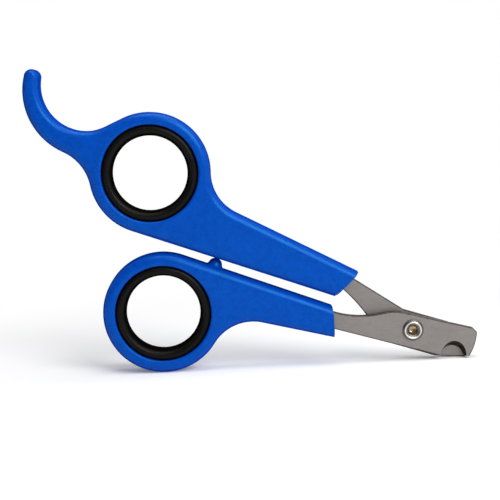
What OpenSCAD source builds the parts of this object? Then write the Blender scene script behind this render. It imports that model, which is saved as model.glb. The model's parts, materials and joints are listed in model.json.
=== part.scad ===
// Scissor-type claw clipper, shut, standing on its lower finger ring and the tip of its jaws.
// Millimetres: +X runs towards the jaws, +Y from the front blade to the rear blade, +Z is up.
// The origin is on the floor, under the middle of the overall length.

/* [Finger rings] */
// Outer radius of both finger rings
ring_r = 17.1; // [16:0.1:20]
// Radius of the seat bored through each ring for its rubber insert
seat_r = 13.6; // [12.6:0.1:14.6]
// Radius of the finger bore in the rubber inserts
finger_r = 10.5; // [9:0.1:11.4]
// Depth of the inserts' crowns below the handles' faces
insert_sink = 0.2; // [0:0.1:0.8]
// Width of the rib that locks the insert in its seat
rib_w = 2; // [1:0.1:3]
// Height of that rib
rib_h = 0.8; // [0.4:0.1:1.2]

/* [Handles] */
// Thickness of both handles
handle_t = 8.6; // [7.6:0.1:11]
// Gap between the arms' ends when the clipper is shut
arm_gap = 3.1; // [2.6:0.1:4]
// Pivot above the lower arm's facing edge, at the arm's end
pivot_rise = 0.75; // [0:0.05:1.5]
// Rise of the lower arm's facing edge towards its ring, in degrees
lower_tilt = 0.75; // [0:0.05:0.9]
// Fall of the upper arm's facing edge towards its ring, in degrees
upper_tilt = 0.1; // [0:0.05:0.3]
// Lower ring's centre behind the pivot, along the arms
lower_reach = 69.6; // [62:0.1:80]
// Upper ring's centre behind the pivot, along the arms
upper_reach = 85.3; // [78:0.1:96]
// Inner corner of the lower arm's end behind the pivot
lower_end = 24.2; // [22:0.1:28]
// Inner corner of the upper arm's end behind the pivot
upper_end = 24.6; // [22:0.1:28]
// Lean of the lower arm's end face
lower_lean = 22.5; // [0:0.5:30]
// Lean of the upper arm's end face
upper_lean = 26.5; // [0:0.5:30]
// Height of the lower arm at its end
lower_end_h = 8.2; // [7.5:0.1:10]
// Height of the upper arm at its end
upper_end_h = 8.6; // [7.5:0.1:10.5]
// Taper of the lower arm in degrees
lower_taper = 6.2; // [2:0.1:9]
// Taper of the upper arm in degrees
upper_taper = 7.8; // [2:0.1:9]
// Radius of the fillets between rings and arms
fillet_r = 12.8; // [8:0.1:16]

/* [Finger hook] */
// Radius of the hollow that the finger rests in
hook_r = 12.6; // [10:0.1:15]
// Gap between the ring's circle and the hollow's circle, bridged by a short straight edge
hook_gap = 0.5; // [0:0.1:0.8]
// Direction of the hollow's centre from the upper ring's centre
hook_angle = 144.5; // [138:0.5:152]
// Direction of the hook's tip from the hollow's centre
hook_tip_angle = 189; // [175:0.5:205]
// Radius of the hook's rounded tip
hook_tip_r = 2.1; // [1.6:0.1:3]
// Shift of the outer curve towards the ring, which thickens the root
hook_swell = 2.1; // [0.8:0.1:2.8]
// Radius of the blend between the hook's back and the ring
hook_blend_r = 13; // [8:0.1:16]

/* [Stop] */
// Stop nub behind the pivot, along the arms
stop_back = 59.8; // [45:0.1:62]
// Radius of the ball-shaped nub
stop_r = 2; // [1.8:0.1:2.6]
// Clearance between the nub and the upper arm
stop_gap = 0.15; // [0.05:0.01:0.3]

/* [Blades] */
// Thickness of each blade
blade_t = 2.3; // [1.6:0.1:2.8]
// Running gap between the blades
blade_gap = 0.06; // [0.04:0.01:0.1]
// Turn of the blades against the arms
blade_skew = 2.2; // [0:0.1:5]
// Front blade's lower edge below the pivot
front_below = 5.1; // [4.8:0.1:5.6]
// Front blade's upper edge above the pivot
front_above = 4.3; // [4:0.1:5]
// Rise of that edge towards the tip, in degrees
front_flare = 3.4; // [2:0.1:4.4]
// Rear blade's lower edge below the pivot
rear_below = 5.8; // [5.2:0.1:6]
// Rear blade's upper edge above the pivot
rear_above = 4.65; // [4.4:0.05:5.2]
// Tip of the blades ahead of the pivot
blade_reach = 18.6; // [18.4:0.1:22]
// Radius of the curved end face
tip_r = 14; // [10:0.5:20]
// Centre of the claw notch ahead of the pivot, at the blade's outer face
notch_ahead = 13.6; // [13.2:0.1:13.7]
// Centre of the front blade's claw notch below the pivot, at the blade's outer face
notch_below = 4.3; // [4.1:0.05:4.5]
// Radius of the claw notches
notch_r = 3.7; // [3.2:0.1:3.8]
// Slant of the notches' ground walls, which leaves a keen edge where the blades meet
notch_slant = 36; // [26:1:38]
// Direction of that slant, up from the front blade's length
notch_way = 98; // [86:1:104]
// Start of the relief under the jaw, ahead of the pivot
relief_ahead = 9; // [7:0.1:9.2]
// Angle of that relief
relief_angle = 13.8; // [8:0.1:15]
// Width of the front blade's tang inside the handle
front_tang_w = 4.7; // [3.5:0.1:5.2]
// Width of the rear blade's tang inside the handle
rear_tang_w = 4.3; // [3.5:0.1:5]
// Length of the tangs inside the handles
tang_len = 26; // [20:0.5:32]
// Front tang above the middle of its arm's end face
front_tang_rise = 0.45; // [0:0.05:0.8]
// Rear tang above the middle of its arm's end face
rear_tang_rise = 0.2; // [0:0.05:0.8]
// Radius of the anchor holes in the tangs
anchor_r = 1.2; // [0.8:0.1:1.4]
// Radius of the hollow between front tang and shoulder
neck_r = 27.5; // [24:0.5:40]
// Radius of the front blade's shoulder
shoulder_r = 14; // [10:0.5:18]
// Radius of the hollow edge of the rear blade's neck
rear_neck_r = 48; // [40:1:60]
// Slope of that edge where it leaves the handle
rear_neck_slope = 25.5; // [22:0.5:30]
// Radius of the rear blade's heel
heel_r = 8; // [5:0.5:9]
// Bend in the rear blade's top edge, behind the pivot
rear_bend = 3.7; // [2:0.1:5]

/* [Pivot rivet] */
// Radius of the rivet's shank
shank_r = 2; // [1.6:0.1:2.4]
// Radial clearance of the shank in the rear blade
pivot_fit = 0.05; // [0.02:0.01:0.1]
// Outer radius of the rolled rim in front
rim_r = 3; // [2.8:0.1:3.4]
// Radius of the roll
roll_r = 0.55; // [0.4:0.05:0.6]
// Height of the rim above the front blade
rim_h = 0.75; // [0.65:0.05:0.9]
// Radius of the hollow in the shank
hollow_r = 1.35; // [0.9:0.05:1.45]
// Depth of that hollow below the front blade's face
hollow_depth = 2.2; // [1:0.1:3.5]
// Radius of the head behind the rear blade
head_r = 3.2; // [2.9:0.1:3.8]
// Height of that head
head_h = 0.9; // [0.6:0.05:1.2]
// Axial play of the rear blade under the head
head_play = 0.05; // [0.02:0.01:0.1]

/* [Hidden] */
$fn = 96;
// Largest step of a drawn arc, in degrees
arc_step = 6;
// Overrun of the cuts past the faces
cut_margin = 1;
// Places of the anchor holes, as shares of a tang's length
anchor_shares = [0.35, 0.75];
// Centre of the curved end face above the pivot
tip_rise = 0.87;
// Lower and upper bearing of that face
tip_low = -15.4;
tip_high = 14.6;
// Heel of the jaw and end of the top edge, behind the tip
heel_back = 1.25;
corner_back = 1.95;
// Colours of the pieces
handle_blue = [0.02, 0.27, 0.75];
rubber_black = [0.05, 0.05, 0.055];
blade_grey = [0.58, 0.56, 0.54];
rivet_bright = [0.8, 0.79, 0.77];

// Plane geometry
function polar(r, a) = r * [cos(a), sin(a)];
function unit(v) = v / norm(v);
function bearing(v) = atan2(v[1], v[0]);
function turned(p, a) = [p[0] * cos(a) - p[1] * sin(a), p[0] * sin(a) + p[1] * cos(a)];
function whole_turn(a) = (a % 360 + 360) % 360;

// Points of an arc from one bearing to another: turn is 1 counter-clockwise and -1 clockwise
function arc(centre, r, from, to, turn = 1) =
    let (sweep = turn * whole_turn(turn * (to - from)), steps = max(2, ceil(abs(sweep) / arc_step)))
    [for (i = [0 : steps]) centre + polar(r, from + sweep * i / steps)];

// Point at distance a from p and b from q, on the left of the way from p to q
function apex(p, q, a, b) =
    let (d = norm(q - p), e = unit(q - p), x = (d * d + a * a - b * b) / (2 * d), h = sqrt(a * a - x * x))
    p + x * e + h * [-e[1], e[0]];

// First or last point on the line through p along e that lies at distance r from c: pick is -1 or 1
function on_line_at(p, e, c, r, pick) =
    let (w = p - c, along = w * e)
    p + e * (-along + pick * sqrt(along * along - w * w + r * r));

// Handle frame: pivot at the origin, the arms' facing edges along the first axis but for their tilt
lower_face = -pivot_rise;
upper_face = arm_gap - pivot_rise;

// Centre of a ring that the arm's facing edge touches: side is 1 for the upper arm and -1 for the lower one
function ring_centre(end, face, side, tilt, reach) =
    let (along = (reach - end - ring_r * sin(tilt)) / cos(tilt))
    [-end, face] + along * [-cos(tilt), -side * sin(tilt)] + ring_r * [-sin(tilt), side * cos(tilt)];

lower_ring = ring_centre(lower_end, lower_face, -1, lower_tilt, lower_reach);
upper_ring = ring_centre(upper_end, upper_face, 1, upper_tilt, upper_reach);

// Ends of an arm
function end_corner(end, face, side, lean, height) = [-end + height * tan(lean), face + side * height];
function outward(side, taper) = [sin(taper), side * cos(taper)];
function backward(side, taper) = [-cos(taper), side * sin(taper)];
function fillet_centre(ring, corner, side, taper) =
    on_line_at(corner + fillet_r * outward(side, taper), backward(side, taper), ring, ring_r + fillet_r, -1);

lower_corner = end_corner(lower_end, lower_face, -1, lower_lean, lower_end_h);
upper_corner = end_corner(upper_end, upper_face, 1, upper_lean, upper_end_h);
lower_fillet = fillet_centre(lower_ring, lower_corner, -1, lower_taper);
upper_fillet = fillet_centre(upper_ring, upper_corner, 1, upper_taper);

lower_outline = concat(
    arc(lower_ring, ring_r, 90 - lower_tilt, bearing(lower_fillet - lower_ring)),
    arc(lower_fillet, fillet_r, bearing(lower_ring - lower_fillet), bearing(-outward(-1, lower_taper)), -1),
    [lower_corner, [-lower_end, lower_face]]
);

// Hook behind the upper ring
hook_run = acos((ring_r + hook_r) / (ring_r + hook_r + hook_gap));
hollow_centre = upper_ring + polar(ring_r + hook_r + hook_gap, hook_angle);
hook_tip = hollow_centre + polar(hook_r + hook_tip_r, hook_tip_angle);
hook_back = hollow_centre - polar(hook_swell, hook_angle);
hook_back_r = norm(hook_tip - hook_back) + hook_tip_r;
hook_blend = apex(upper_ring, hook_back, ring_r + hook_blend_r, hook_back_r + hook_blend_r);

upper_outline = concat(
    [[-upper_end, upper_face], upper_corner],
    arc(upper_fillet, fillet_r, bearing(-outward(1, upper_taper)), bearing(upper_ring - upper_fillet), -1),
    arc(upper_ring, ring_r, bearing(upper_fillet - upper_ring), hook_angle - hook_run),
    arc(hollow_centre, hook_r, hook_angle + 180 - hook_run, hook_tip_angle, -1),
    arc(hook_tip, hook_tip_r, hook_tip_angle + 180, bearing(hook_tip - hook_back)),
    arc(hook_back, hook_back_r, bearing(hook_tip - hook_back), bearing(hook_blend - hook_back)),
    arc(hook_blend, hook_blend_r, bearing(hook_back - hook_blend), bearing(upper_ring - hook_blend), -1),
    arc(upper_ring, ring_r, bearing(hook_blend - upper_ring), 270 + upper_tilt)
);

// Stop nub: a ball whose crown stays just below the upper arm
stop_centre = [-stop_back, upper_face - (stop_back - upper_end) * tan(upper_tilt) - stop_gap - stop_r];

// Blade frame: the handle frame turned by the blades' skew
function in_blade(p) = turned(p, -blade_skew);
function tang_way(side, taper) = in_blade(backward(side, taper / 2));
function tang_side(side, taper) = in_blade([side * sin(taper / 2), cos(taper / 2)]);
function mouth(end, face, corner, rise) = in_blade(([-end, face] + corner) / 2 + [0, rise]);

front_mouth = mouth(lower_end, lower_face, lower_corner, front_tang_rise);
rear_mouth = mouth(upper_end, upper_face, upper_corner, rear_tang_rise);
front_way = tang_way(-1, lower_taper);
rear_way = tang_way(1, upper_taper);
front_side = tang_side(-1, lower_taper) * front_tang_w / 2;
rear_side = tang_side(1, upper_taper) * rear_tang_w / 2;

// Tip of a blade, from the relief under the jaw to the end of the top edge
tip_centre = [blade_reach - tip_r, tip_rise];
jaw_end = blade_reach - heel_back;
top_end = blade_reach - corner_back;
function tip_heel(below) = [jaw_end, (jaw_end - relief_ahead) * tan(relief_angle) - below];
function tip_outline(below, above) = concat(
    [[relief_ahead, -below], tip_heel(below)],
    arc(tip_centre, tip_r, tip_low, tip_high),
    [[top_end, above]]
);

// Front blade: hollow neck, then a round shoulder that runs into the top edge
neck_centre = front_mouth + front_side + neck_r * unit(front_side);
shoulder_line = [0, front_above] - polar(shoulder_r, 90 + front_flare);
shoulder_centre = on_line_at(shoulder_line, polar(1, front_flare), neck_centre, neck_r + shoulder_r, 1);
front_outline = concat(
    [front_mouth + tang_len * front_way - front_side, front_mouth - front_side],
    tip_outline(front_below, front_above + top_end * tan(front_flare)),
    arc(shoulder_centre, shoulder_r, 90 + front_flare, bearing(neck_centre - shoulder_centre)),
    arc(neck_centre, neck_r, bearing(shoulder_centre - neck_centre), bearing(-front_side), -1),
    [front_mouth + tang_len * front_way + front_side]
);

// Rear blade: hollow inner edge, then a round heel that runs into the lower edge
rear_neck_start = rear_mouth - rear_side;
rear_neck = rear_neck_start - polar(rear_neck_r, 90 - rear_neck_slope);
heel_line = [0, heel_r - rear_below];
heel_centre = on_line_at(heel_line, [1, 0], rear_neck, rear_neck_r + heel_r, 1);
rear_outline = concat(
    [rear_mouth + tang_len * rear_way - rear_side],
    arc(rear_neck, rear_neck_r, 90 - rear_neck_slope, bearing(heel_centre - rear_neck), -1),
    arc(heel_centre, heel_r, bearing(rear_neck - heel_centre), 270),
    tip_outline(rear_below, rear_above),
    [[-rear_bend, rear_above], rear_mouth + rear_side, rear_mouth + tang_len * rear_way + rear_side]
);

// Standing pose: the floor touches the lower ring and the rear blade's jaw
tip_foot = turned(tip_heel(rear_below), blade_skew);
foot_line = lower_ring - tip_foot;
lean = bearing(-foot_line) + asin(ring_r / norm(foot_line));
hook_left = turned(hook_back, -lean)[0] - hook_back_r;
tip_right = turned(tip_centre + polar(tip_r, tip_high), blade_skew - lean)[0];
pivot_x = -(hook_left + tip_right) / 2;
pivot_z = ring_r - turned(lower_ring, -lean)[1];

// Blade faces across the clipper
front_face = -blade_t - blade_gap / 2;
rear_face = blade_t + blade_gap / 2;

// Put a shape of the handle frame where the clipper stands
module standing() {
    translate([pivot_x, 0, pivot_z]) rotate([0, lean, 0]) children();
}

// Slab of a plane outline from y0 to y1
module slab(y0, y1) {
    translate([0, y1, 0]) rotate([90, 0, 0]) linear_extrude(y1 - y0) children();
}

// Solid of revolution about Y, drawn as radius and Y
module turned_about_y(centre = [0, 0]) {
    translate([centre[0], 0, centre[1]]) rotate([-90, 0, 0]) rotate_extrude() children();
}

// Seat through a ring, with its locking rib left standing
module seat(ring) {
    turned_about_y(ring) {
        translate([0, -handle_t / 2 - cut_margin]) square([seat_r - rib_h, handle_t + 2 * cut_margin]);
        for (half = [-1, 1])
            translate([0, half > 0 ? rib_w / 2 : -handle_t / 2 - cut_margin])
                square([seat_r, handle_t / 2 + cut_margin - rib_w / 2]);
    }
}

// Rubber insert: half-round crowns on both faces, straight finger bore, groove for the rib
module insert(ring) {
    wall = seat_r - finger_r;
    straight = handle_t - 2 * insert_sink - wall;
    color(rubber_black) standing() turned_about_y(ring) difference() {
        union() {
            translate([finger_r, -straight / 2]) square([wall, straight]);
            for (half = [-1, 1])
                translate([finger_r + wall / 2, half * straight / 2]) circle(wall / 2);
        }
        translate([seat_r - rib_h, -rib_w / 2]) square([rib_h + cut_margin, rib_w]);
    }
}

// Cutter of the front blade's claw notch, in the plane of the slabs
module notch_cutter() {
    translate([notch_ahead, -notch_below, -front_face]) rotate([0, notch_slant, notch_way]) rotate(180)
        cylinder(h = 4 * blade_t + 2 * notch_r, r = notch_r, center = true);
}

// Anchor holes through a tang, which the handle's plastic fills
module anchors(start, way) {
    for (share = anchor_shares)
        translate(start + way * tang_len * share) circle(anchor_r);
}

module front_tang_area() {
    difference() {
        polygon(front_outline);
        anchors(front_mouth, front_way);
    }
}

module rear_tang_area() {
    difference() {
        polygon(rear_outline);
        anchors(rear_mouth, rear_way);
    }
}

module front_blade_solid() {
    slab(front_face, -blade_gap / 2) rotate(blade_skew) front_tang_area();
}

module rear_blade_solid() {
    slab(blade_gap / 2, rear_face) rotate(blade_skew) rear_tang_area();
}

module lower_handle() {
    color(handle_blue) standing() difference() {
        union() {
            slab(-handle_t / 2, handle_t / 2) polygon(lower_outline);
            translate([stop_centre[0], 0, stop_centre[1]]) sphere(stop_r);
        }
        seat(lower_ring);
        front_blade_solid();
    }
}

module upper_handle() {
    color(handle_blue) standing() difference() {
        slab(-handle_t / 2, handle_t / 2) polygon(upper_outline);
        seat(upper_ring);
        rear_blade_solid();
    }
}

module lower_finger_insert() {
    insert(lower_ring);
}

module upper_finger_insert() {
    insert(upper_ring);
}

module front_blade() {
    color(blade_grey) standing() difference() {
        front_blade_solid();
        slab(front_face - cut_margin, cut_margin) circle(shank_r);
        rotate([90, 0, 0]) rotate(blade_skew) notch_cutter();
    }
}

module rear_blade() {
    color(blade_grey) standing() difference() {
        rear_blade_solid();
        slab(-cut_margin, rear_face + cut_margin) circle(shank_r + pivot_fit);
        rotate([90, 0, 0]) rotate(blade_skew) rotate([180, 0, 0]) notch_cutter();
    }
}

// Semi-tubular rivet: rolled rim in front, flat head behind
module pivot_rivet() {
    head_face = rear_face + head_play;
    hollow_end = front_face + hollow_depth;
    color(rivet_bright) standing() turned_about_y() {
        polygon([
            [0, hollow_end],
            [hollow_r, hollow_end],
            [hollow_r, front_face],
            [rim_r - 2 * roll_r, front_face - rim_h + roll_r],
            [rim_r - roll_r, front_face - rim_h + roll_r],
            [rim_r - roll_r, front_face],
            [shank_r, front_face],
            [shank_r, head_face],
            [head_r, head_face],
            [head_r, head_face + head_h / 2],
            [head_r - head_h / 2, head_face + head_h],
            [0, head_face + head_h]
        ]);
        intersection() {
            translate([rim_r - roll_r, front_face - rim_h + roll_r]) circle(roll_r);
            translate([0, front_face - rim_h]) square([rim_r, rim_h]);
        }
    }
}

lower_handle();
upper_handle();
lower_finger_insert();
upper_finger_insert();
front_blade();
rear_blade();
pivot_rivet();
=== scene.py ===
"""Looks of a scissor-type claw clipper: moulded handles, rubber linings, steel blades and a rolled rivet."""
import json
import math

import bmesh
import bpy
from mathutils import Matrix, Vector


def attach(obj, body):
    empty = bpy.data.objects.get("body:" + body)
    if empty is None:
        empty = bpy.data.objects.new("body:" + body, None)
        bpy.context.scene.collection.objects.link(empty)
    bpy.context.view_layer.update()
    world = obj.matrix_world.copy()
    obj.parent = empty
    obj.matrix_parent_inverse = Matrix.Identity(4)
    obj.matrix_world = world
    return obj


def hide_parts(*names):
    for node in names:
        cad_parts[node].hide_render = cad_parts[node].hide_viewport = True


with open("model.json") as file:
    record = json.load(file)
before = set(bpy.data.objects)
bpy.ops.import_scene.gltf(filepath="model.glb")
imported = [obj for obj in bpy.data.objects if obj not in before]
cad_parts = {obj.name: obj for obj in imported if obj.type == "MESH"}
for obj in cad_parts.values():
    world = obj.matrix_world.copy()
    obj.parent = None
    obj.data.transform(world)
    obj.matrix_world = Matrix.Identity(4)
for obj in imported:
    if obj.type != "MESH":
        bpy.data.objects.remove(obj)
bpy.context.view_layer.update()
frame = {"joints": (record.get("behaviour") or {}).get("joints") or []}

# Sizes of the solids, in millimetres and degrees
RING_R, SEAT_R, FINGER_R = 17.1, 13.6, 10.5
INSERT_SINK = 0.2
HANDLE_T = 8.6
ARM_GAP, PIVOT_RISE = 3.1, 0.75
LOWER_TILT, UPPER_TILT = 0.75, 0.1
LOWER_REACH, UPPER_REACH = 69.6, 85.3
LOWER_END, UPPER_END = 24.2, 24.6
LOWER_LEAN, UPPER_LEAN = 22.5, 26.5
LOWER_END_H, UPPER_END_H = 8.2, 8.6
LOWER_TAPER, UPPER_TAPER = 6.2, 7.8
FILLET_R = 12.8
HOOK_R, HOOK_GAP, HOOK_ANGLE, HOOK_TIP_ANGLE = 12.6, 0.5, 144.5, 189.0
HOOK_TIP_R, HOOK_SWELL, HOOK_BLEND_R = 2.1, 2.1, 13.0
STOP_BACK, STOP_R, STOP_GAP = 59.8, 2.0, 0.15
BLADE_T, BLADE_GAP, BLADE_SKEW = 2.3, 0.06, 2.2
FRONT_BELOW, FRONT_ABOVE, FRONT_FLARE = 5.1, 4.3, 3.4
REAR_BELOW, REAR_ABOVE = 5.8, 4.65
BLADE_REACH, TIP_R, TIP_RISE, TIP_LOW, TIP_HIGH = 18.6, 14.0, 0.87, -15.4, 14.6
HEEL_BACK, CORNER_BACK = 1.25, 1.95
NOTCH_AHEAD, NOTCH_BELOW, NOTCH_R, NOTCH_SLANT, NOTCH_WAY = 13.6, 4.3, 3.7, 36.0, 98.0
RELIEF_AHEAD, RELIEF_ANGLE = 9.0, 13.8
FRONT_TANG_W, REAR_TANG_W, TANG_LEN = 4.7, 4.3, 26.0
FRONT_TANG_RISE, REAR_TANG_RISE = 0.45, 0.2
NECK_R, SHOULDER_R = 27.5, 14.0
REAR_NECK_R, REAR_NECK_SLOPE, HEEL_R, REAR_BEND = 48.0, 25.5, 8.0, 3.7
SHANK_R, PIVOT_FIT = 2.0, 0.05
RIM_R, RIM_H = 3.0, 0.75
HOLLOW_R, HOLLOW_DEPTH = 1.35, 2.2
HEAD_R, HEAD_H, HEAD_PLAY = 3.2, 0.9, 0.05

# Edge forms that only the looks have, in millimetres and degrees
ROUND_IN, ROUND_DEEP = 2.4, 2.2
HOOK_IN = 1.7
SUPPORT = 0.2
SEAT_EDGE = 0.6
END_EDGE = 0.45
NUB_FOOT = 1.2
BORE_SAG = 0.36
CREST_R, CREST_ROLL, FLANK = 2.28, 0.33, 38.0
FLARE_DEPTH, FLOOR_DISH, FLOOR_CORNER = 0.25, 0.05, 0.4
HEAD_EDGE, HEAD_LIP, HEAD_CROWN = 0.45, 0.1, 0.03
BLADE_EDGE, NOTCH_EDGE, NOTCH_NEAR = 0.3, 0.06, 0.8

# Shares of another size, and the least divisor of a mitre
BLADE_SUPPORT_SHARE = 1.6
HOLLOW_FLOOR_SHARE, HEAD_TOP_SHARE = 0.7, 0.5
MITRE_LEAST = 0.3

# Fineness of the meshes: degrees for each step of an arc, and counts of steps
ARC_STEP, HOOK_TIP_STEP = 3.0, 9.0
RING_STEPS, HOLE_STEPS, NUB_STEPS, RIVET_STEPS = 120, 48, 48, 72
ROUND_STEPS, SEAT_EDGE_STEPS, END_EDGE_STEPS, BLADE_EDGE_STEPS = 9, 4, 3, 3
NUB_FOOT_STEPS, NUB_BALL_STEPS = 8, 14
NOTCH_STEPS = 48
LINING_STEPS, BORE_STEPS = 16, 10
# ROLL_FLARE_STEPS counts the roll's steps that take the flare's painted shade
FLARE_STEPS, ROLL_STEPS, ROLL_FLARE_STEPS, HEAD_STEPS = 5, 12, 3, 8

# Edges sharper than this many degrees are shaded as edges
HANDLE_SHARP, TURNED_SHARP, BLADE_SHARP = 40, 50, 30

# Bearings near which the flat faces are parted
LOWER_PARTING, UPPER_PARTING, BLADE_PARTING = (120, 250), (80, 250), (60, 240)

# Places of the materials in the lists of a lining, a blade and the rivet
ON_RUBBER = 0
# Sheared and ground walls take dark copies of the blade steel, as painted shade
ON_FACE, ON_SHEARED_SHADE, ON_GROUND_SHADE = range(3)
# The rivet's places: painted highlight on the crest, painted shade on the flare and the flank
ON_BRIGHT_HIGHLIGHT, ON_HOLLOW, ON_FLARE_SHADE, ON_FLANK_SHADE = range(4)

MM_PER_M = 1000
ON_AXIS = 1e-6
ORIGIN = Vector((0, 0))


# Plane geometry, with angles in degrees
def sine(a):
    return math.sin(math.radians(a))


def cosine(a):
    return math.cos(math.radians(a))


def tangent(a):
    return math.tan(math.radians(a))


def polar(r, a):
    return Vector((r * cosine(a), r * sine(a)))


def bearing(v):
    return math.degrees(math.atan2(v.y, v.x))


def turned(p, a):
    return Vector((p.x * cosine(a) - p.y * sine(a), p.x * sine(a) + p.y * cosine(a)))


def round_bearings(steps):
    return [360 * k / steps for k in range(steps)]


def arc(centre, r, start, end, turn=1, step=ARC_STEP, steps=None):
    """Points of an arc with their outward normals. turn is 1 where the outline bulges and -1 where it is
    hollow."""
    sweep = turn * ((turn * (end - start)) % 360)
    steps = steps or max(2, math.ceil(abs(sweep) / step))
    bearings = [start + sweep * i / steps for i in range(steps + 1)]
    return [(centre + polar(r, a), polar(turn, a)) for a in bearings]


def points_of(run):
    return [p for p, n in run]


def apex(p, q, a, b):
    """Point at a from p and at b from q, on the left of the way from p to q."""
    d = (q - p).length
    e = (q - p) / d
    x = (d * d + a * a - b * b) / (2 * d)
    return p + x * e + math.sqrt(a * a - x * x) * Vector((-e.y, e.x))


def on_line_at(p, e, c, r, pick):
    """Point of the line through p along e that is at r from c: the further one along e where pick is 1."""
    w = p - c
    along = w.dot(e)
    return p + e * (-along + pick * math.sqrt(along * along - w.dot(w) + r * r))


# Handles in the plane: side is 1 for the upper handle and -1 for the lower one
def outward(side, taper):
    """Outward normal of an arm's outer edge."""
    return Vector((sine(taper), side * cosine(taper)))


def backward(side, taper):
    """Way along an arm's outer edge from the blade to the ring."""
    return Vector((-cosine(taper), side * sine(taper)))


def ring_centre(end, face, side, tilt, reach):
    """Centre of a ring that the arm's facing edge touches."""
    c, s = cosine(tilt), sine(tilt)
    along = (reach - end - RING_R * s) / c
    return Vector((-end, face)) + along * Vector((-c, -side * s)) + RING_R * Vector((-s, side * c))


def end_corner(end, face, side, lean, height):
    """Outer corner of an arm's leaning end face."""
    return Vector((-end + height * tangent(lean), face + side * height))


def fillet_centre(ring, corner, side, taper):
    """Centre of the hollow arc between an arm's outer edge and its ring."""
    start = corner + FILLET_R * outward(side, taper)
    return on_line_at(start, backward(side, taper), ring, RING_R + FILLET_R, -1)


# Handle frame: pivot at the origin, the arms' facing edges along the first axis but for their tilt
LOWER_FACE, UPPER_FACE = -PIVOT_RISE, ARM_GAP - PIVOT_RISE
LOWER_RING = ring_centre(LOWER_END, LOWER_FACE, -1, LOWER_TILT, LOWER_REACH)
UPPER_RING = ring_centre(UPPER_END, UPPER_FACE, 1, UPPER_TILT, UPPER_REACH)
LOWER_CORNER = end_corner(LOWER_END, LOWER_FACE, -1, LOWER_LEAN, LOWER_END_H)
UPPER_CORNER = end_corner(UPPER_END, UPPER_FACE, 1, UPPER_LEAN, UPPER_END_H)
LOWER_FILLET = fillet_centre(LOWER_RING, LOWER_CORNER, -1, LOWER_TAPER)
UPPER_FILLET = fillet_centre(UPPER_RING, UPPER_CORNER, 1, UPPER_TAPER)
HOOK_RUN = math.degrees(math.acos((RING_R + HOOK_R) / (RING_R + HOOK_R + HOOK_GAP)))
HOLLOW_CENTRE = UPPER_RING + polar(RING_R + HOOK_R + HOOK_GAP, HOOK_ANGLE)
HOOK_TIP = HOLLOW_CENTRE + polar(HOOK_R + HOOK_TIP_R, HOOK_TIP_ANGLE)
HOOK_BACK = HOLLOW_CENTRE - polar(HOOK_SWELL, HOOK_ANGLE)
HOOK_BACK_R = (HOOK_TIP - HOOK_BACK).length + HOOK_TIP_R
HOOK_BLEND = apex(UPPER_RING, HOOK_BACK, RING_R + HOOK_BLEND_R, HOOK_BACK_R + HOOK_BLEND_R)

# Blade frame: the handle frame turned by the blades' skew
JAW_END = BLADE_REACH - HEEL_BACK
TOP_END = BLADE_REACH - CORNER_BACK
TIP_CENTRE = Vector((BLADE_REACH - TIP_R, TIP_RISE))
FRONT_Y, REAR_Y = -BLADE_T - BLADE_GAP / 2, BLADE_T + BLADE_GAP / 2
HEAD_Y = REAR_Y + HEAD_PLAY


def tip_heel(below):
    """Lower corner of a jaw's end, at the end of the jaw's relief."""
    return Vector((JAW_END, (JAW_END - RELIEF_AHEAD) * tangent(RELIEF_ANGLE) - below))


# Standing pose, as in the solids
FOOT_LINE = LOWER_RING - turned(tip_heel(REAR_BELOW), BLADE_SKEW)
LEAN = bearing(-FOOT_LINE) + math.degrees(math.asin(RING_R / FOOT_LINE.length))
PIVOT = Vector(frame["joints"][0]["pos_m"]) * MM_PER_M


def place(p, y):
    """Row-frame point of a point of the handle frame."""
    q = turned(p, -LEAN)
    return Vector((PIVOT.x + q.x, y, PIVOT.z + q.y))


# Mesh building
def finish_piece(bm, name, body, node, materials, sharp):
    bmesh.ops.recalc_face_normals(bm, faces=bm.faces[:])
    mesh = bpy.data.meshes.new(name)
    bm.to_mesh(mesh)
    bm.free()
    mesh.transform(Matrix.Scale(1 / MM_PER_M, 4))
    mesh.polygons.foreach_set("use_smooth", [True] * len(mesh.polygons))
    mesh.set_sharp_from_angle(angle=math.radians(sharp))
    for m in materials:
        mesh.materials.append(m)
    piece = bpy.data.objects.new(name, mesh)
    bpy.context.scene.collection.objects.link(piece)
    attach(piece, body)
    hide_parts(node)


def loop_verts(bm, points):
    return [bm.verts.new(p) for p in points]


def bridge(bm, a, b, closed=True, material=None):
    """Wall between two loops. material gives the place of the material for each of its faces."""
    count = len(a)
    for i in range(count if closed else count - 1):
        j = (i + 1) % count
        bm.faces.new((a[i], a[j], b[j], b[i])).material_index = material[i] if material else 0


def bridge_all(bm, loops, closed=True):
    for a, b in zip(loops, loops[1:]):
        bridge(bm, a, b, closed)


def fill_flat(bm, rim, rim_points, hole, hole_points, centre, bearings):
    """Fills the flat between a rim and a round hole in two faces, parted near two bearings."""
    def nearest(points, a):
        def off(i):
            return abs((bearing(points[i] - centre) - a + 180) % 360 - 180)

        return min(range(len(points)), key=off)

    cuts = []
    for a in bearings:
        i = nearest(rim_points, a)
        cuts.append((i, nearest(hole_points, bearing(rim_points[i] - centre))))
    for (i0, j0), (i1, j1) in (cuts, cuts[::-1]):
        outer = [rim[(i0 + k) % len(rim)] for k in range((i1 - i0) % len(rim) + 1)]
        inner = [hole[(j1 - k) % len(hole)] for k in range((j1 - j0) % len(hole) + 1)]
        bm.faces.new(outer + inner)


def round_profile(depth, steps):
    """Shares of the inset, with the depth below the face, from the face to the wall."""
    angles = [90 * k / steps for k in range(steps + 1)]
    return [(1 - sine(t), depth * (1 - cosine(t))) for t in angles]


def both_faces(layers):
    """Layers with their depth below a handle's face, as levels from the front face to the back one."""
    half = HANDLE_T / 2
    return [(s, -half + d) for s, d in layers] + [(s, half - d) for s, d in reversed(layers)]


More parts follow.
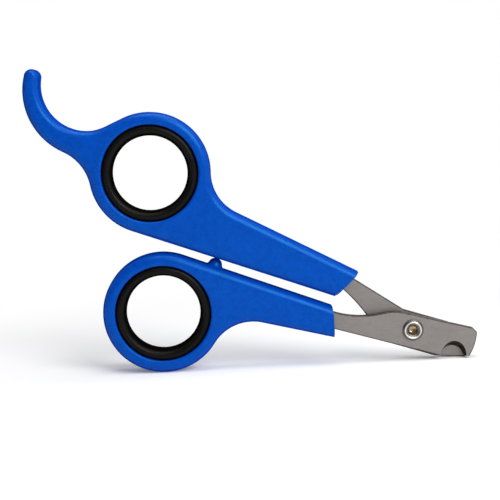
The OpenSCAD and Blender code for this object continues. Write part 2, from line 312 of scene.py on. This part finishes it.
def seat_bore(bm, ring):
    """Bore for a lining, with rounded mouths, and the points of its widest loop."""
    widest = SEAT_R + SEAT_EDGE + SUPPORT / 2
    layers = [(widest, 0.0)]
    layers += [(SEAT_R + SEAT_EDGE * s, d) for s, d in round_profile(SEAT_EDGE, SEAT_EDGE_STEPS)]
    spokes = round_bearings(RING_STEPS)
    loops = [loop_verts(bm, [place(ring + polar(r, a), y) for a in spokes]) for r, y in both_faces(layers)]
    bridge_all(bm, loops)
    return loops, [ring + polar(widest, a) for a in spokes]


def break_end(bm, loops):
    """Rounds the edges of an arm's end face, which lies between the first and last points of the loops."""
    rim = [bm.edges.get((a[k], b[k])) for a, b in zip(loops, loops[1:]) for k in (0, -1)]
    rim += [bm.edges.get((loops[k][0], loops[k][-1])) for k in (0, -1)]
    bmesh.ops.bevel(bm, geom=rim, offset=END_EDGE, offset_type="OFFSET", segments=END_EDGE_STEPS,
                    profile=0.5, affect="EDGES")


def moulded_handle(name, body, node, material, path, ends, ring, bearings, nub=False):
    """Handle with rounded edges, flat end face and bored ring. path holds points, normals and insets in
    order, and ends gives the first and last point of the loop for an inset."""
    bm = bmesh.new()
    levels = both_faces([(1 + SUPPORT / ROUND_IN, 0.0)] + round_profile(ROUND_DEEP, ROUND_STEPS))
    plane = []
    for share, y in levels:
        first, last = ends(share * ROUND_IN)
        plane.append([first] + [p - n * (share * inset) for p, n, inset in path] + [last])
    loops = [loop_verts(bm, [place(p, y) for p in pts]) for pts, (share, y) in zip(plane, levels)]
    bridge_all(bm, loops, closed=False)
    bm.faces.new([c[-1] for c in loops] + [c[0] for c in reversed(loops)])
    holes, hole_points = seat_bore(bm, ring)
    for level in (0, -1):
        fill_flat(bm, loops[level], plane[level], holes[level], hole_points, ring, bearings)
    break_end(bm, loops)
    if nub:
        add_nub(bm)
    finish_piece(bm, name, body, node, [material], HANDLE_SHARP)


def nub_profile(crown):
    """Radius and height of the stop from its foot to its ball, short of the crown."""
    middle = crown - STOP_R
    reach = math.sqrt((STOP_R + NUB_FOOT) ** 2 - (middle - NUB_FOOT) ** 2)
    meet = math.degrees(math.atan2(middle - NUB_FOOT, reach))
    foot = [(90 + meet) * k / NUB_FOOT_STEPS for k in range(NUB_FOOT_STEPS + 1)]
    ball = [-meet + (90 + meet) * k / NUB_BALL_STEPS for k in range(1, NUB_BALL_STEPS)]
    profile = [(reach - NUB_FOOT * sine(t), NUB_FOOT - NUB_FOOT * cosine(t)) for t in foot]
    return profile + [(STOP_R * cosine(t), middle + STOP_R * sine(t)) for t in ball]


def add_nub(bm):
    """Ball-shaped stop with a flared foot that follows the arm's rounded edge."""
    foot = LOWER_FACE + (STOP_BACK - LOWER_END) * tangent(LOWER_TILT)
    crown = UPPER_FACE - (STOP_BACK - UPPER_END) * tangent(UPPER_TILT) - STOP_GAP - foot
    flat = HANDLE_T / 2 - ROUND_DEEP
    loops = []
    for r, h in nub_profile(crown):
        points = []
        for a in round_bearings(NUB_STEPS):
            d, y = polar(r, a)
            off = min(max(abs(y) - flat, 0) / ROUND_DEEP, 1)
            drop = ROUND_IN * (1 - math.sqrt(1 - off * off)) * (1 - h / crown) ** 2
            points.append(place(Vector((d - STOP_BACK, foot + h - drop)), y))
        loops.append(loop_verts(bm, points))
    bridge_all(bm, loops)
    top = bm.verts.new(place(Vector((-STOP_BACK, foot + crown)), 0))
    for k in range(NUB_STEPS):
        bm.faces.new((loops[-1][k], loops[-1][(k + 1) % NUB_STEPS], top))
    bm.faces.new(loops[0])


def with_inset(run, start=ROUND_IN, end=ROUND_IN):
    """Points and normals of an arc with the inset of the rounded edge, which changes evenly along it."""
    last = len(run) - 1
    return [(p, n, start + (end - start) * i / last) for i, (p, n) in enumerate(run)]


def end_points(end, face, corner, side, taper, tilt):
    """Ends of the facing edge and of the outer edge, both on the arm's end face, for an inset."""
    tip = Vector((-end, face))
    along = (corner - tip).normalized()
    facing = Vector((sine(tilt), -side * cosine(tilt)))

    def ends(inset):
        inner = tip - along * (inset / along.dot(facing))
        outer = corner - along * (inset / along.dot(outward(side, taper)))
        return inner, outer

    return ends


def lathe(name, body, node, materials, centre, profile, closed, steps=RING_STEPS):
    """Turned piece about Y. profile holds radius, Y and the material of the stretch that follows."""
    bm = bmesh.new()
    rings = []
    for r, y, m in profile:
        if r < ON_AXIS:
            rings.append([bm.verts.new(place(centre, y))])
        else:
            rings.append(loop_verts(bm, [place(centre + polar(r, a), y) for a in round_bearings(steps)]))
    pairs = list(zip(rings, rings[1:], profile))
    if closed:
        pairs.append((rings[-1], rings[0], profile[-1]))
    for a, b, (r, y, m) in pairs:
        for k in range(steps):
            j = (k + 1) % steps
            corners = [a[k % len(a)], a[j % len(a)], b[j % len(b)], b[k % len(b)]]
            face = [v for i, v in enumerate(corners) if v not in corners[:i]]
            bm.faces.new(face).material_index = m
    finish_piece(bm, name, body, node, materials, TURNED_SHARP)


def notched(points, centre, way):
    """Outline with a slanted round notch cut from its edge, and for each point whether the notch made it.
    The first point is outside the notch. The notch is drawn out along its slant, so it is found in a plane
    that is squeezed there."""
    along, share = polar(1, way), cosine(NOTCH_SLANT)
    plane = [p - centre + along * ((p - centre).dot(along) * (share - 1)) for p in points]
    out, entry = [], None
    for i, (p, w) in enumerate(zip(points, plane)):
        if w.length >= NOTCH_R:
            out.append((p, False))
        d = plane[(i + 1) % len(plane)] - w
        a, b, c = d.dot(d), 2 * d.dot(w), w.dot(w) - NOTCH_R * NOTCH_R
        root = b * b - 4 * a * c
        if root <= 0:
            continue
        for t in ((-b - math.sqrt(root)) / (2 * a), (-b + math.sqrt(root)) / (2 * a)):
            if not 0 < t < 1:
                continue
            hit = bearing(w + d * t)
            if entry is None:
                entry = hit
            else:
                rim = arc(ORIGIN, NOTCH_R, entry, hit, -1, steps=NOTCH_STEPS)
                out += [(centre + q + along * (q.dot(along) * (1 / share - 1)), True) for q, n in rim]
                entry = None
    return out


def mitres(points):
    """Outward mitre of each corner of a counter-clockwise outline."""
    result = []
    for i, p in enumerate(points):
        a = (p - points[i - 1]).normalized()
        b = (points[(i + 1) % len(points)] - p).normalized()
        n1, n2 = Vector((a.y, -a.x)), Vector((b.y, -b.x))
        result.append((n1 + n2) / max(1 + n1.dot(n2), MITRE_LEAST))
    return result


def blade_edge(outline, notch, way):
    """Outline with its notch, and for each point the way and the width of its broken edge."""
    rim = notched(outline, notch, way)
    cut = [p for p, made in rim if made]
    near = [made or min((p - cut[0]).length, (p - cut[-1]).length) < NOTCH_NEAR for p, made in rim]
    points = [p for p, made in rim]
    return [(p, n, NOTCH_EDGE if close else BLADE_EDGE) for p, n, close in zip(points, mitres(points), near)]


def blade(name, body, node, materials, outline, notch, way, outer, inward, hole_r):
    """Flat blade with broken edges, sheared edges and a ground claw notch, whose walls take steel painted
    dark as shade, and a bored pivot hole.
    inward is the side of the other blade, towards which the notch slants."""
    bm = bmesh.new()
    shares = [(BLADE_SUPPORT_SHARE, 0.0)] + round_profile(BLADE_EDGE, BLADE_EDGE_STEPS)
    levels = shares + [(s, BLADE_T - d) for s, d in reversed(shares)]
    slant = polar(tangent(NOTCH_SLANT), way)
    plane, loops = [], []
    for share, d in levels:
        rim = blade_edge(outline, notch - slant * d, way)
        plane.append([turned(p - n * (share * width), BLADE_SKEW) for p, n, width in rim])
        loops.append(loop_verts(bm, [place(p, outer + inward * d) for p in plane[-1]]))
    widths = [width for p, n, width in blade_edge(outline, notch, way)]
    # Steel painted dark as shade on the walls, near black on the notch's ground wall
    wall = [ON_GROUND_SHADE if width == NOTCH_EDGE else ON_SHEARED_SHADE for width in widths]
    flat = [ON_FACE] * len(wall)
    for k, (a, b) in enumerate(zip(loops, loops[1:])):
        bridge(bm, a, b, material=flat if k in (0, len(levels) - 2) else wall)
    hole_points = [polar(hole_r, a) for a in round_bearings(HOLE_STEPS)]
    holes = [loop_verts(bm, [place(p, y) for p in hole_points]) for y in (outer, outer + inward * BLADE_T)]
    bridge_all(bm, holes)
    for level in (0, -1):
        fill_flat(bm, loops[level], plane[level], holes[level], hole_points, ORIGIN, BLADE_PARTING)
    finish_piece(bm, name, body, node, materials, BLADE_SHARP)


# Shader nodes: spans of values, and the colour sockets of a mix node
NOISE_SPAN, NOISE_ROUGHNESS = (0.3, 0.7), 0.55
GLOSS_BLEND, GLOSS_FADE = 0.5, (0.2, 0.5)
MIX_FIRST, MIX_SECOND, MIX_RESULT = 6, 7, 2
NONE_TO_ALL = (0.0, 1.0)


def clear_tree(owner):
    owner.use_nodes = True
    owner.node_tree.nodes.clear()
    return owner.node_tree


def new_material(name):
    m = bpy.data.materials.new(name)
    tree = clear_tree(m)
    out = tree.nodes.new("ShaderNodeOutputMaterial")
    shader = tree.nodes.new("ShaderNodeBsdfPrincipled")
    tree.links.new(shader.outputs["BSDF"], out.inputs["Surface"])
    where = tree.nodes.new("ShaderNodeTexCoord").outputs["Object"]
    return m, tree, shader, where


def noise(tree, where, scale, detail):
    n = tree.nodes.new("ShaderNodeTexNoise")
    n.inputs["Scale"].default_value = scale
    n.inputs["Detail"].default_value = detail
    n.inputs["Roughness"].default_value = NOISE_ROUGHNESS
    tree.links.new(where, n.inputs["Vector"])
    return n.outputs["Fac"]


def stretched(tree, where, stretch, turn):
    mapping = tree.nodes.new("ShaderNodeMapping")
    mapping.inputs["Scale"].default_value = stretch
    mapping.inputs["Rotation"].default_value = turn
    tree.links.new(where, mapping.inputs["Vector"])
    return mapping.outputs["Vector"]


def ramp(tree, value, low, high, span=NOISE_SPAN):
    r = tree.nodes.new("ShaderNodeValToRGB")
    for element, at, colour in zip(r.color_ramp.elements, span, (low, high)):
        element.position = at
        element.color = (*colour, 1)
    tree.links.new(value, r.inputs["Fac"])
    return r.outputs["Color"]


def mapped(tree, value, source, target, interpolation):
    r = tree.nodes.new("ShaderNodeMapRange")
    r.interpolation_type = interpolation
    r.inputs["From Min"].default_value, r.inputs["From Max"].default_value = source
    r.inputs["To Min"].default_value, r.inputs["To Max"].default_value = target
    tree.links.new(value, r.inputs["Value"])
    return r.outputs["Result"]


def spread(tree, value, low, high):
    return mapped(tree, value, NOISE_SPAN, (low, high), "LINEAR")


def eased(tree, value, source, target):
    return mapped(tree, value, source, target, "SMOOTHSTEP")


def multiplied(tree, a, b):
    m = tree.nodes.new("ShaderNodeMix")
    m.data_type = "RGBA"
    m.blend_type = "MULTIPLY"
    m.inputs["Factor"].default_value = 1.0
    tree.links.new(a, m.inputs[MIX_FIRST])
    tree.links.new(b, m.inputs[MIX_SECOND])
    return m.outputs[MIX_RESULT]


def maths(tree, operation, a, b):
    m = tree.nodes.new("ShaderNodeMath")
    m.operation = operation
    tree.links.new(a, m.inputs[0])
    tree.links.new(b, m.inputs[1])
    return m.outputs[0]


def bumped(tree, shader, height, strength, distance):
    b = tree.nodes.new("ShaderNodeBump")
    b.inputs["Strength"].default_value = strength
    b.inputs["Distance"].default_value = distance
    tree.links.new(height, b.inputs["Height"])
    tree.links.new(b.outputs["Normal"], shader.inputs["Normal"])


def face_on(tree, shader, level):
    """Gloss that fades where the surface turns away from view."""
    weight = tree.nodes.new("ShaderNodeLayerWeight")
    weight.inputs["Blend"].default_value = GLOSS_BLEND
    gloss = eased(tree, weight.outputs["Facing"], GLOSS_FADE, (level, 0.0))
    tree.links.new(gloss, shader.inputs["Specular IOR Level"])


# Materials
def handle_plastic():
    """Blue moulded plastic with a fine grain."""
    m, tree, shader, where = new_material("handle_plastic")
    broad = noise(tree, where, scale=600, detail=2)
    fine = noise(tree, where, scale=2400, detail=2)
    colour = ramp(tree, broad, low=(0.0, 0.052, 0.41), high=(0.0, 0.066, 0.485))
    grain = ramp(tree, fine, low=(0.80, 0.84, 0.87), high=(1.08, 1.06, 1.04))
    rough = spread(tree, noise(tree, where, scale=420, detail=4), low=0.28, high=0.36)
    tree.links.new(multiplied(tree, colour, grain), shader.inputs["Base Color"])
    tree.links.new(rough, shader.inputs["Roughness"])
    face_on(tree, shader, level=0.55)
    shader.inputs["Specular Tint"].default_value = (0.1, 0.6, 1.0, 1)
    bumped(tree, shader, fine, strength=0.12, distance=0.00003)
    return m


def insert_rubber():
    """Black rubber with a fine grain."""
    m, tree, shader, where = new_material("insert_rubber")
    broad = noise(tree, where, scale=240, detail=3)
    fine = noise(tree, where, scale=3200, detail=3)
    colour = ramp(tree, broad, low=(0.0022, 0.0020, 0.0018), high=(0.0040, 0.0037, 0.0033))
    grain = ramp(tree, fine, low=(0.8, 0.8, 0.8), high=(1.25, 1.2, 1.15), span=(0.3, 0.75))
    tree.links.new(multiplied(tree, colour, grain), shader.inputs["Base Color"])
    tree.links.new(spread(tree, broad, low=0.32, high=0.42), shader.inputs["Roughness"])
    face_on(tree, shader, level=0.12)
    bumped(tree, shader, fine, strength=0.25, distance=0.00004)
    return m


def blade_steel(name, low, high, rough, stretch):
    """Brushed steel: its streaks run along the axis with the smallest stretch."""
    m, tree, shader, where = new_material(name)
    streaks = stretched(tree, where, stretch, turn=(0, math.radians(BLADE_SKEW - LEAN), 0))
    brushed = noise(tree, streaks, scale=900, detail=4)
    fine = noise(tree, where, scale=4200, detail=3)
    broad = noise(tree, where, scale=120, detail=3)
    colour = ramp(tree, brushed, low, high)
    grain = ramp(tree, fine, low=(0.78, 0.77, 0.76), high=(1.0, 1.0, 1.0))
    tree.links.new(multiplied(tree, colour, grain), shader.inputs["Base Color"])
    tree.links.new(spread(tree, broad, *rough), shader.inputs["Roughness"])
    shader.inputs["Metallic"].default_value = 1.0
    bumped(tree, shader, fine, strength=0.2, distance=0.00002)
    return m


def rivet_steel(name, low, high, rough):
    """Turned steel, a little uneven; the rivet takes lit and shaded copies of it, as painted highlight and
    painted shade.
    """
    m, tree, shader, where = new_material(name)
    broad = noise(tree, where, scale=700, detail=3)
    fine = noise(tree, where, scale=1800, detail=3)
    tree.links.new(ramp(tree, broad, low, high), shader.inputs["Base Color"])
    tree.links.new(spread(tree, fine, *rough), shader.inputs["Roughness"])
    shader.inputs["Metallic"].default_value = 1.0
    bumped(tree, shader, broad, strength=0.08, distance=0.00002)
    return m


LENGTHWISE, CROSSWISE = (0.25, 1, 1), (1, 0.2, 1)
PLASTIC = handle_plastic()
RUBBER = insert_rubber()
STEEL = blade_steel("blade_steel", (0.335, 0.310, 0.295), (0.365, 0.340, 0.323), (0.55, 0.65), LENGTHWISE)
# Dark copies of the blade steel: painted shade on the sheared edges, over their crosswise marks, and
# near-black painted shade on the notch's ground wall
SHEARED_SHADE_STEEL = blade_steel("blade_edge", (0.05, 0.042, 0.036), (0.15, 0.13, 0.115), (0.45, 0.6), CROSSWISE)
GROUND_SHADE_STEEL = blade_steel("blade_ground_shade", (0.020, 0.016, 0.013), (0.055, 0.046, 0.040), (0.35, 0.5), CROSSWISE)
# Lit and shaded copies of the rivet's steel: painted highlight on the crest, painted shade on the flare,
# darker painted shade on the flank; the hollow has a golden tone
BRIGHT_HIGHLIGHT_STEEL = rivet_steel("rivet_bright", (0.74, 0.72, 0.69), (0.90, 0.88, 0.85), (0.30, 0.38))
FLARE_SHADE_STEEL = rivet_steel("rivet_flare_shade", (0.18, 0.18, 0.165), (0.30, 0.30, 0.28), (0.42, 0.52))
FLANK_SHADE_STEEL = rivet_steel("rivet_flank_shade", (0.10, 0.095, 0.085), (0.17, 0.16, 0.145), (0.35, 0.45))
HOLLOW = rivet_steel("rivet_hollow", (0.28, 0.20, 0.11), (0.60, 0.48, 0.33), (0.20, 0.30))


# Handles
def lower_outline():
    """Outline with insets from the facing edge round the ring to the end of the fillet."""
    ring = arc(LOWER_RING, RING_R, 90 - LOWER_TILT, bearing(LOWER_FILLET - LOWER_RING))
    edge_way = bearing(-outward(-1, LOWER_TAPER))
    fillet = arc(LOWER_FILLET, FILLET_R, bearing(LOWER_RING - LOWER_FILLET), edge_way, -1)
    return with_inset(ring) + with_inset(fillet)


def upper_outline():
    """Outline with insets from the fillet round the ring and its hook to the facing edge."""
    edge_way = bearing(-outward(1, UPPER_TAPER))
    hook_way = bearing(HOOK_TIP - HOOK_BACK)
    fillet = arc(UPPER_FILLET, FILLET_R, edge_way, bearing(UPPER_RING - UPPER_FILLET), -1)
    crown = arc(UPPER_RING, RING_R, bearing(UPPER_FILLET - UPPER_RING), HOOK_ANGLE - HOOK_RUN)
    hollow = arc(HOLLOW_CENTRE, HOOK_R, HOOK_ANGLE + 180 - HOOK_RUN, HOOK_TIP_ANGLE, -1)
    tip = arc(HOOK_TIP, HOOK_TIP_R, HOOK_TIP_ANGLE + 180, hook_way, 1, HOOK_TIP_STEP)
    back = arc(HOOK_BACK, HOOK_BACK_R, hook_way, bearing(HOOK_BLEND - HOOK_BACK))
    blend_way = bearing(HOOK_BACK - HOOK_BLEND)
    blend = arc(HOOK_BLEND, HOOK_BLEND_R, blend_way, bearing(UPPER_RING - HOOK_BLEND), -1)
    below = arc(UPPER_RING, RING_R, bearing(HOOK_BLEND - UPPER_RING), 270 + UPPER_TILT)
    path = with_inset(fillet) + with_inset(crown) + with_inset(hollow, ROUND_IN, HOOK_IN)
    path += with_inset(tip, HOOK_IN, HOOK_IN) + with_inset(back, HOOK_IN, ROUND_IN)
    return path + with_inset(blend) + with_inset(below)


lower_ends = end_points(LOWER_END, LOWER_FACE, LOWER_CORNER, -1, LOWER_TAPER, LOWER_TILT)
moulded_handle("handle_lower", "lower_half", "lower_handle", PLASTIC, lower_outline(), lower_ends,
               LOWER_RING, LOWER_PARTING, nub=True)
upper_ends = end_points(UPPER_END, UPPER_FACE, UPPER_CORNER, 1, UPPER_TAPER, UPPER_TILT)
moulded_handle("handle_upper", "upper_half", "upper_handle", PLASTIC, upper_outline(),
               lambda inset: upper_ends(inset)[::-1], UPPER_RING, UPPER_PARTING)


# Rubber linings
def lining_profile():
    """Closed section with round front and back edges and a slightly crowned bore."""
    wall = SEAT_R - FINGER_R
    crown_y = (HANDLE_T - 2 * INSERT_SINK - wall) / 2
    profile = []
    for way, start in ((-1, 180), (1, 0)):
        for k in range(LINING_STEPS + 1):
            across, along = polar(1, start + 180 * k / LINING_STEPS)
            r = (SEAT_R + FINGER_R + BORE_SAG + (wall - BORE_SAG) * across) / 2
            profile.append((r, way * crown_y + wall / 2 * along, ON_RUBBER))
    for k in range(1, BORE_STEPS):
        t = 1 - 2 * k / BORE_STEPS
        profile.append((FINGER_R + BORE_SAG * t * t, t * crown_y, ON_RUBBER))
    return profile


lathe("insert_lower", "lower_half", "lower_finger_insert", [RUBBER], LOWER_RING,
      lining_profile(), True)
lathe("insert_upper", "upper_half", "upper_finger_insert", [RUBBER], UPPER_RING,
      lining_profile(), True)


# Blades
def in_blade(p):
    """Blade-frame point of a point of the handle frame."""
    return turned(p, -BLADE_SKEW)


def tang_mouth(end, face, corner, rise):
    """Middle of the tang where it enters the arm's end face."""
    return in_blade((Vector((-end, face)) + corner) / 2 + Vector((0, rise)))


def tang(side, taper, width):
    """Direction into the handle, and half the tang's width across it."""
    across = Vector((side * sine(taper / 2), cosine(taper / 2)))
    return in_blade(backward(side, taper / 2)), in_blade(across) * width / 2


def tip_outline(below, above):
    """Outline of a jaw's end, from the start of its relief to its upper corner."""
    tip = points_of(arc(TIP_CENTRE, TIP_R, TIP_LOW, TIP_HIGH))
    return [Vector((RELIEF_AHEAD, -below)), tip_heel(below)] + tip + [Vector((TOP_END, above))]


def front_outline():
    mouth = tang_mouth(LOWER_END, LOWER_FACE, LOWER_CORNER, FRONT_TANG_RISE)
    way, half = tang(-1, LOWER_TAPER, FRONT_TANG_W)
    neck = mouth + half + NECK_R * half.normalized()
    shoulder_line = Vector((0, FRONT_ABOVE)) - polar(SHOULDER_R, 90 + FRONT_FLARE)
    shoulder = on_line_at(shoulder_line, polar(1, FRONT_FLARE), neck, NECK_R + SHOULDER_R, 1)
    outline = [mouth + TANG_LEN * way - half, mouth - half]
    outline += tip_outline(FRONT_BELOW, FRONT_ABOVE + TOP_END * tangent(FRONT_FLARE))
    outline += points_of(arc(shoulder, SHOULDER_R, 90 + FRONT_FLARE, bearing(neck - shoulder)))
    outline += points_of(arc(neck, NECK_R, bearing(shoulder - neck), bearing(-half), -1))[1:]
    return outline + [mouth + TANG_LEN * way + half]


def rear_outline():
    mouth = tang_mouth(UPPER_END, UPPER_FACE, UPPER_CORNER, REAR_TANG_RISE)
    way, half = tang(1, UPPER_TAPER, REAR_TANG_W)
    neck = mouth - half - polar(REAR_NECK_R, 90 - REAR_NECK_SLOPE)
    heel = on_line_at(Vector((0, HEEL_R - REAR_BELOW)), Vector((1, 0)), neck, REAR_NECK_R + HEEL_R, 1)
    outline = [mouth + TANG_LEN * way - half]
    outline += points_of(arc(neck, REAR_NECK_R, 90 - REAR_NECK_SLOPE, bearing(heel - neck), -1))
    outline += points_of(arc(heel, HEEL_R, bearing(neck - heel), 270))[1:]
    outline += tip_outline(REAR_BELOW, REAR_ABOVE)
    return outline + [Vector((-REAR_BEND, REAR_ABOVE)), mouth + half, mouth + TANG_LEN * way + half]


BLADE_MATERIALS = [STEEL, SHEARED_SHADE_STEEL, GROUND_SHADE_STEEL]
blade("blade_front", "lower_half", "front_blade", BLADE_MATERIALS, front_outline(),
      Vector((NOTCH_AHEAD, -NOTCH_BELOW)), NOTCH_WAY, FRONT_Y, 1, SHANK_R)
blade("blade_rear", "upper_half", "rear_blade", BLADE_MATERIALS, rear_outline(),
      Vector((NOTCH_AHEAD, NOTCH_BELOW)), -NOTCH_WAY, REAR_Y, -1, SHANK_R + PIVOT_FIT)


# Rivet
def rivet_profile():
    """Section from the floor of the blind hollow over the flared mouth, rolled rim and shank to the head."""
    floor_y = FRONT_Y + HOLLOW_DEPTH
    flare_y = FRONT_Y + FLARE_DEPTH
    roll = Vector((CREST_R, FRONT_Y - RIM_H + CREST_ROLL))
    profile = [(0, floor_y, ON_HOLLOW),
               (HOLLOW_R * HOLLOW_FLOOR_SHARE, floor_y - FLOOR_DISH, ON_HOLLOW),
               (HOLLOW_R, floor_y - FLOOR_CORNER, ON_HOLLOW),
               (HOLLOW_R, flare_y, ON_FLARE_SHADE)]
    for k in range(1, FLARE_STEPS):
        t = k / FLARE_STEPS
        r = HOLLOW_R + (CREST_R - CREST_ROLL - HOLLOW_R) * t * t
        profile.append((r, flare_y + (roll.y - flare_y) * t, ON_FLARE_SHADE))
    # The roll's inner steps take the flare's painted shade, the crest and outer steps the painted highlight
    for k in range(ROLL_STEPS):
        q = roll + polar(CREST_ROLL, 180 + (90 + FLANK) * k / ROLL_STEPS)
        profile.append((q.x, q.y, ON_FLARE_SHADE if k < ROLL_FLARE_STEPS else ON_BRIGHT_HIGHLIGHT))
    flank = roll + polar(CREST_ROLL, 270 + FLANK)
    # The flank and the rim's foot take steel painted dark as shade
    profile += [(flank.x, flank.y, ON_FLANK_SHADE),
                (RIM_R, flank.y + (RIM_R - flank.x) * tangent(FLANK), ON_FLANK_SHADE),
                (RIM_R, FRONT_Y, ON_FLANK_SHADE),
                (SHANK_R, FRONT_Y, ON_BRIGHT_HIGHLIGHT),
                (SHANK_R, HEAD_Y, ON_BRIGHT_HIGHLIGHT),
                (HEAD_R - HEAD_LIP, HEAD_Y, ON_BRIGHT_HIGHLIGHT)]
    for k in range(HEAD_STEPS + 1):
        t = 90 * k / HEAD_STEPS
        r = HEAD_R - HEAD_EDGE + HEAD_EDGE * cosine(t)
        profile.append((r, HEAD_Y + HEAD_LIP + (HEAD_H - 2 * HEAD_LIP) * sine(t), ON_BRIGHT_HIGHLIGHT))
    profile += [(HEAD_R * HEAD_TOP_SHARE, HEAD_Y + HEAD_H - HEAD_CROWN, ON_BRIGHT_HIGHLIGHT),
                (0, HEAD_Y + HEAD_H, ON_BRIGHT_HIGHLIGHT)]
    return profile


lathe("rivet", "lower_half", "pivot_rivet", [BRIGHT_HIGHLIGHT_STEEL, HOLLOW, FLARE_SHADE_STEEL, FLANK_SHADE_STEEL], ORIGIN,
      rivet_profile(), False, RIVET_STEPS)

# Stage, in metres
WHITE = (1, 1, 1, 1)
FLOOR_HALF, FLOOR_COLOUR = 3, (0.93, 0.93, 0.94, 1)
FLOOR_LIFT, FLOOR_WHITENS, FLOOR_BEHIND = 0.15, (0.065, 0.16), (0.0, 0.15)
SKY_SIDES, SKY_STRENGTHS, SKY_BEHIND = (-0.8, 0.8), (0.18, 0.44), (0.0, 0.3)
LIGHT_AIM = Vector((0, 0, 0.04))


def background_seen(tree, where, behind):
    """1 for camera rays, and for reflected or transmitted rays that reach the background behind the
    object."""
    ray = tree.nodes.new("ShaderNodeLightPath").outputs
    parts = tree.nodes.new("ShaderNodeSeparateXYZ")
    tree.links.new(where, parts.inputs[0])
    mirrored = maths(tree, "MAXIMUM", ray["Is Glossy Ray"], ray["Is Transmission Ray"])
    mirrored = maths(tree, "MULTIPLY", mirrored, eased(tree, parts.outputs["Y"], behind, NONE_TO_ALL))
    return maths(tree, "MAXIMUM", ray["Is Camera Ray"], mirrored)


def floor_material():
    """Pale near the object, and white further away where the background is seen."""
    m = bpy.data.materials.new("floor")
    tree = clear_tree(m)
    out = tree.nodes.new("ShaderNodeOutputMaterial")
    pale = tree.nodes.new("ShaderNodeBsdfDiffuse")
    pale.inputs["Color"].default_value = FLOOR_COLOUR
    lift = tree.nodes.new("ShaderNodeEmission")
    near = tree.nodes.new("ShaderNodeAddShader")
    white = tree.nodes.new("ShaderNodeEmission")
    mix = tree.nodes.new("ShaderNodeMixShader")
    where = tree.nodes.new("ShaderNodeTexCoord").outputs["Object"]
    length = tree.nodes.new("ShaderNodeVectorMath")
    length.operation = "LENGTH"
    tree.links.new(where, length.inputs[0])
    seen = background_seen(tree, where, FLOOR_BEHIND)
    far = eased(tree, length.outputs["Value"], FLOOR_WHITENS, NONE_TO_ALL)
    tree.links.new(eased(tree, seen, NONE_TO_ALL, (0.0, FLOOR_LIFT)), lift.inputs["Strength"])
    tree.links.new(pale.outputs[0], near.inputs[0])
    tree.links.new(lift.outputs[0], near.inputs[1])
    tree.links.new(maths(tree, "MULTIPLY", seen, far), mix.inputs[0])
    tree.links.new(near.outputs[0], mix.inputs[1])
    tree.links.new(white.outputs[0], mix.inputs[2])
    tree.links.new(mix.outputs[0], out.inputs["Surface"])
    return m


def add_floor():
    mesh = bpy.data.meshes.new("floor")
    corners = [(FLOOR_HALF * x, FLOOR_HALF * y, 0) for x, y in ((-1, -1), (1, -1), (1, 1), (-1, 1))]
    mesh.from_pydata(corners, [], [(0, 1, 2, 3)])
    mesh.materials.append(floor_material())
    floor = bpy.data.objects.new("floor", mesh)
    bpy.context.scene.collection.objects.link(floor)


def add_world():
    """Soft light, stronger from the right, and white where the background is seen."""
    world = bpy.data.worlds.new("studio")
    bpy.context.scene.world = world
    tree = clear_tree(world)
    out = tree.nodes.new("ShaderNodeOutputWorld")
    sky = tree.nodes.new("ShaderNodeBackground")
    sky.inputs["Color"].default_value = WHITE
    where = tree.nodes.new("ShaderNodeTexCoord").outputs["Generated"]
    parts = tree.nodes.new("ShaderNodeSeparateXYZ")
    tree.links.new(where, parts.inputs[0])
    side = eased(tree, parts.outputs["X"], SKY_SIDES, SKY_STRENGTHS)
    seen = background_seen(tree, where, SKY_BEHIND)
    tree.links.new(maths(tree, "MAXIMUM", seen, side), sky.inputs["Strength"])
    tree.links.new(sky.outputs[0], out.inputs["Surface"])


def area_light(name, at, size, watts):
    data = bpy.data.lights.new(name, "AREA")
    data.shape = "RECTANGLE"
    data.size, data.size_y = size
    data.energy = watts
    lamp = bpy.data.objects.new(name, data)
    lamp.location = at
    lamp.rotation_euler = (LIGHT_AIM - Vector(at)).to_track_quat("-Z", "Y").to_euler()
    bpy.context.scene.collection.objects.link(lamp)


add_floor()
add_world()
area_light("key", at=(0.30, -0.44, 0.40), size=(0.38, 0.38), watts=2.7)
area_light("top", at=(0.03, -0.09, 0.7), size=(0.5, 0.4), watts=2.1)

# Camera, fitted to the photograph's frame, in millimetres and degrees
CAM_AZ, CAM_EL, CAM_ROLL = -1.829, 6.88, -2.171
CAM_FAR, CAM_AIM, CAM_PX_PER_MM = 320.0, Vector((-1.517, 0, 33.8)), 3.5032
FRAME_PX, SENSOR_MM = 500, 36.0
CLIP_NEAR_M, CLIP_FAR_M = 0.01, 20


def add_camera():
    back = Vector((sine(CAM_AZ) * cosine(CAM_EL), -cosine(CAM_AZ) * cosine(CAM_EL), sine(CAM_EL)))
    level = (-back).cross(Vector((0, 0, 1))).normalized()
    upright = level.cross(-back)
    right = level * cosine(CAM_ROLL) + upright * sine(CAM_ROLL)
    up = upright * cosine(CAM_ROLL) - level * sine(CAM_ROLL)
    data = bpy.data.cameras.new("camera")
    data.sensor_width = SENSOR_MM
    data.lens = CAM_PX_PER_MM * CAM_FAR / FRAME_PX * SENSOR_MM
    data.clip_start, data.clip_end = CLIP_NEAR_M, CLIP_FAR_M
    camera = bpy.data.objects.new("camera", data)
    turn = Matrix((right, up, back)).transposed().to_4x4()
    camera.matrix_world = Matrix.Translation((CAM_AIM + back * CAM_FAR) / MM_PER_M) @ turn
    bpy.context.scene.collection.objects.link(camera)
    bpy.context.scene.camera = camera


add_camera()
bpy.context.scene.view_settings.view_transform = "Standard"
